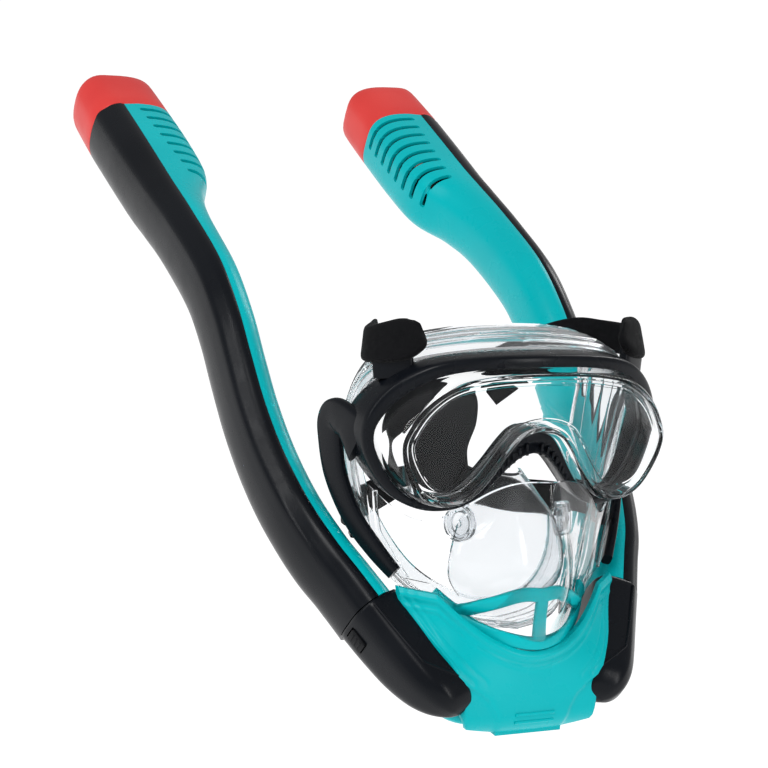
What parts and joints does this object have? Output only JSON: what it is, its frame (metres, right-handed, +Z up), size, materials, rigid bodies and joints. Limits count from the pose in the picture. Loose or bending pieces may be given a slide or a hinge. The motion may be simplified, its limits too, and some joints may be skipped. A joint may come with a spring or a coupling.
{
  "type": "full face snorkel",
  "caption": "Full face snorkel with a clear goggle lens, moulded face shell, teal chin and curved pull-off breathing tubes with float housings.",
  "frame": {"origin": "centre of the head seal, on the mid plane, where the wearer's face meets the mask", "axes": "front faces -Y, +X is the wearer's left, +Z is up with the lens vertical; the tubes run back along +Y"},
  "size_m": [0.251, 0.4772, 0.2846],
  "materials": {
    "clear_lens": "gloss",
    "clear_silicone": "satin",
    "black_plastic": "satin",
    "teal_plastic": "gloss",
    "red_plastic": "gloss",
    "black_rubber": "matte",
    "black_webbing": "woven",
    "screw_steel": "brushed",
    "float_foam": "matte"
  },
  "bodies": {
    "mask": {"eye_lens": "clear_lens", "lens_gasket": "black_rubber", "lens_frame": "black_plastic", "face_shell": "clear_lens", "face_skirt": "clear_silicone", "nose_pocket": "clear_silicone", "valve_seats": "clear_silicone", "mouth_grille": "teal_plastic", "chin_shell": "teal_plastic", "chin_plate": "teal_plastic", "purge_seat": "black_plastic", "purge_cover": "teal_plastic", "chin_screws": "screw_steel", "harness_pad": "black_rubber", "side_arm_left": "black_plastic", "side_arm_right": "black_plastic", "elbow_left": "black_plastic", "elbow_right": "black_plastic", "strap_clip_left": "black_plastic", "strap_clip_right": "black_plastic", "lower_clip_left": "black_plastic", "lower_clip_right": "black_plastic", "upper_strap_left": "black_webbing", "upper_strap_right": "black_webbing", "lower_strap_left": "black_webbing", "lower_strap_right": "black_webbing"},
    "purge": {"purge_disc": "clear_silicone"},
    "tube_left": {"tube_outer_left": "black_plastic", "tube_inner_left": "teal_plastic", "tube_cap_left": "red_plastic", "spigot_left": "black_plastic", "spigot_ring_left": "black_rubber", "float_guide_left": "black_plastic"},
    "float_left": {"float_left": "float_foam"},
    "latch_left": {"latch_button_left": "black_plastic"},
    "check_left": {"check_valve_left": "clear_silicone"},
    "tube_right": {"tube_outer_right": "black_plastic", "tube_inner_right": "teal_plastic", "tube_cap_right": "red_plastic", "spigot_right": "black_plastic", "spigot_ring_right": "black_rubber", "float_guide_right": "black_plastic"},
    "float_right": {"float_right": "float_foam"},
    "latch_right": {"latch_button_right": "black_plastic"},
    "check_right": {"check_valve_right": "clear_silicone"}
  },
  "joints": [
    {"name": "purge_open", "type": "slide", "parent": "mask", "child": "purge", "axis": [0, 0, -1], "range_m": [0, 0.0012], "stiffness_N_per_m": 40, "springref_m": -0.0008},
    {"name": "tube_left_pull", "type": "slide", "parent": "mask", "child": "tube_left", "axis": [0.3848, 0.7095, 0.5903], "range_m": [0, 0.03]},
    {"name": "float_left_rise", "type": "slide", "parent": "tube_left", "child": "float_left", "axis": [0.005, 0.9471, 0.321], "range_m": [0, 0.009]},
    {"name": "latch_left_press", "type": "slide", "parent": "mask", "child": "latch_left", "axis": [-0.923, 0.2958, 0.2461], "range_m": [0, 0.0015], "stiffness_N_per_m": 400},
    {"name": "check_left_open", "type": "slide", "parent": "mask", "child": "check_left", "axis": [0.9196, -0.3798, 0.1], "range_m": [0, 0.0008], "stiffness_N_per_m": 40, "springref_m": -0.0006},
    {"name": "tube_right_pull", "type": "slide", "parent": "mask", "child": "tube_right", "axis": [-0.3848, 0.7095, 0.5903], "range_m": [0, 0.03]},
    {"name": "float_right_rise", "type": "slide", "parent": "tube_right", "child": "float_right", "axis": [-0.005, 0.9471, 0.321], "range_m": [0, 0.009]},
    {"name": "latch_right_press", "type": "slide", "parent": "mask", "child": "latch_right", "axis": [0.923, 0.2958, 0.2461], "range_m": [0, 0.0015], "stiffness_N_per_m": 400},
    {"name": "check_right_open", "type": "slide", "parent": "mask", "child": "check_right", "axis": [-0.9196, -0.3798, 0.1], "range_m": [0, 0.0008], "stiffness_N_per_m": 40, "springref_m": -0.0006}
  ]
}
